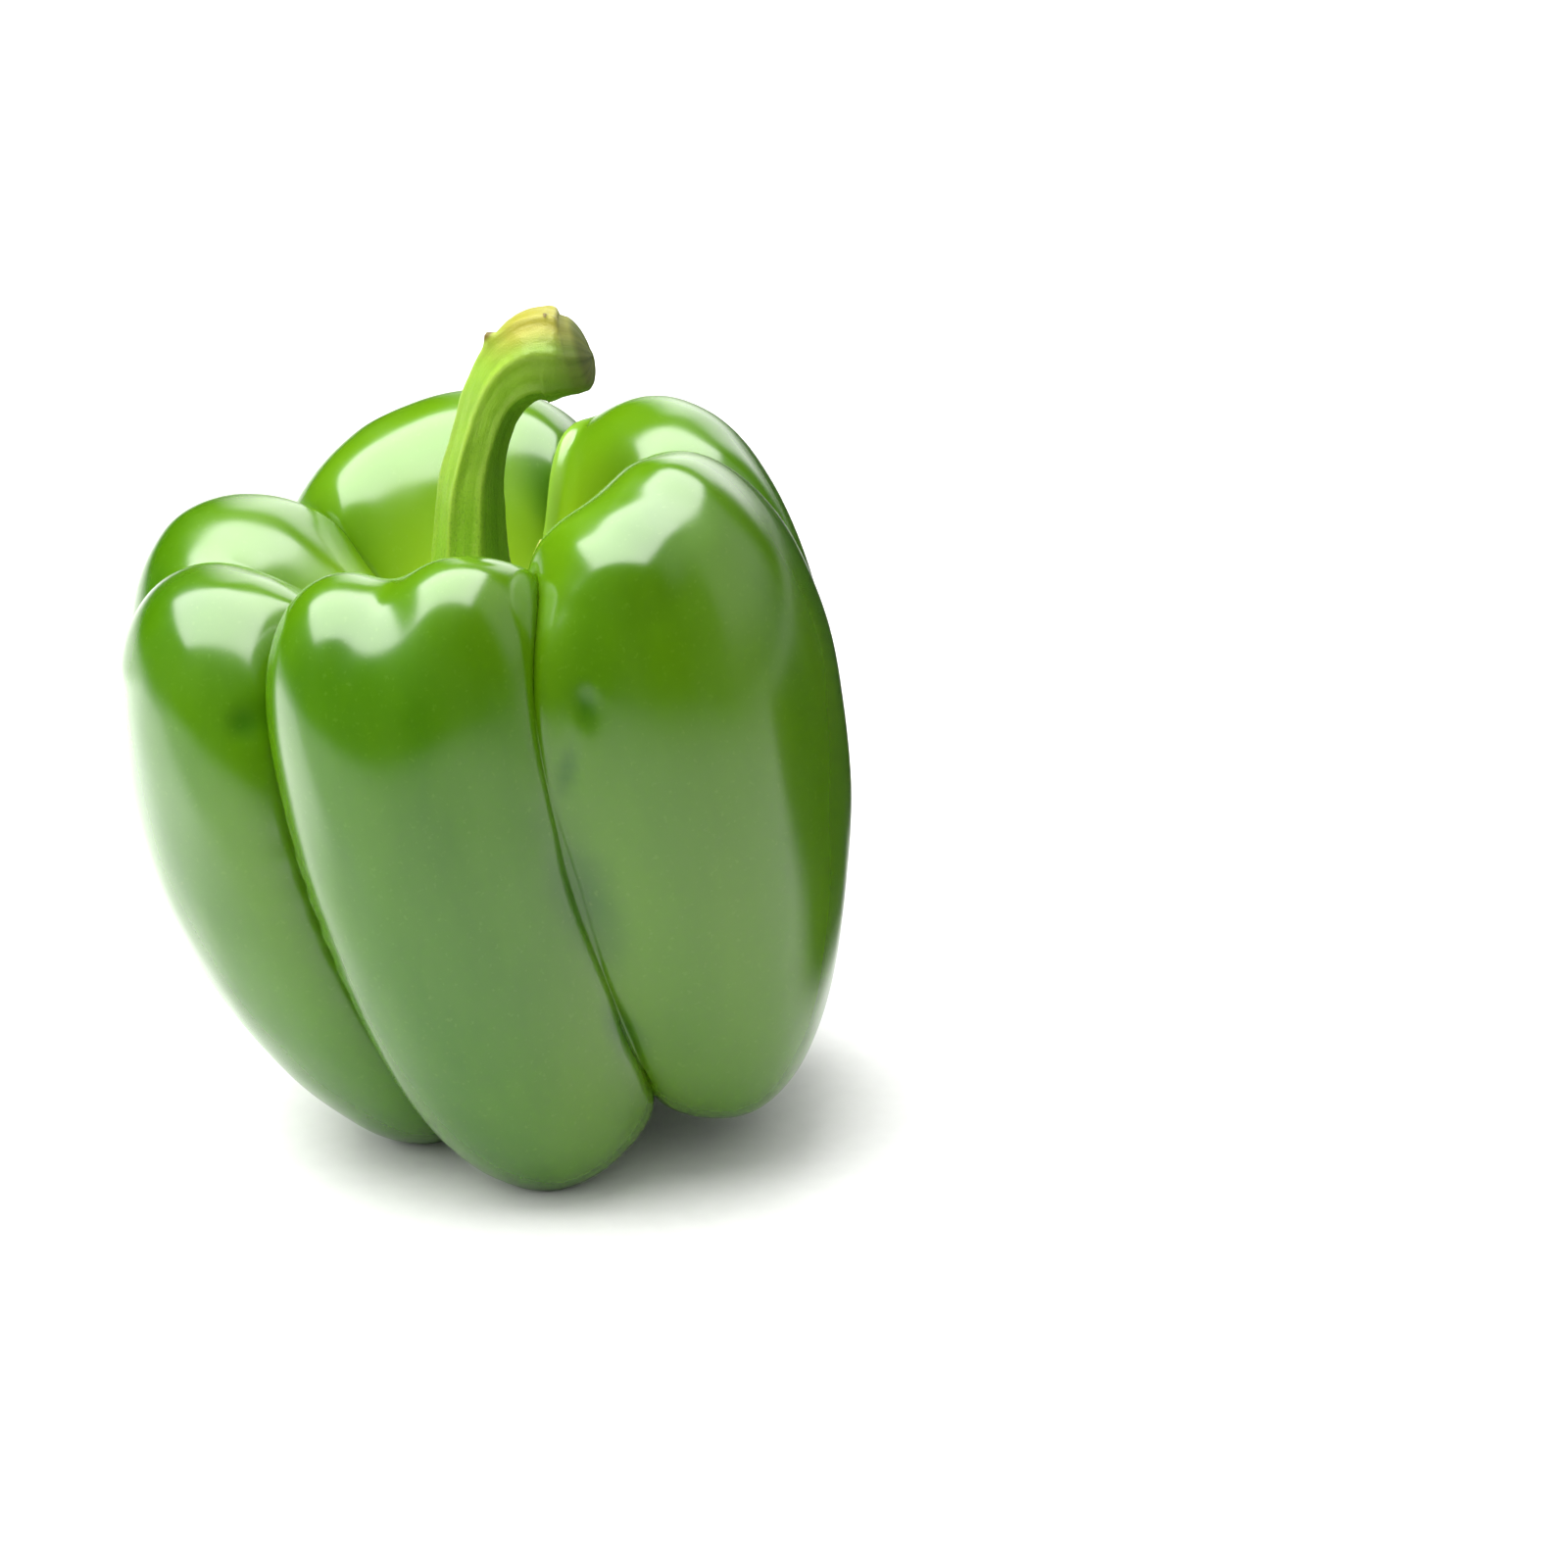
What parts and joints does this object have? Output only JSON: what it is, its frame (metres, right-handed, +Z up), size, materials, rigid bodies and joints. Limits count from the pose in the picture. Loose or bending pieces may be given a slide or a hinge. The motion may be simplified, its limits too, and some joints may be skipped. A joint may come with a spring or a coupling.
{
  "type": "bell pepper",
  "caption": "Green bell pepper with deep lobes, a calyx and a bent stalk, leaning a little on the feet of its lobes.",
  "frame": {"origin": "on the table, under the middle of the bounding box of the standing pepper", "axes": "+Z up from the table; front towards -Y; the fruit leans towards -X and the cut end of its stalk points to +X"},
  "size_m": [0.09, 0.0892, 0.1065],
  "materials": {
    "skin": "smooth waxy green skin, glossy",
    "sepal": "dull green leaf with a pale ragged rim",
    "stem": "satin green fibrous stalk with a browned cut end"
  },
  "bodies": {
    "root": {"fruit": "skin", "calyx": "sepal", "stalk": "stem"}
  },
  "joints": []
}
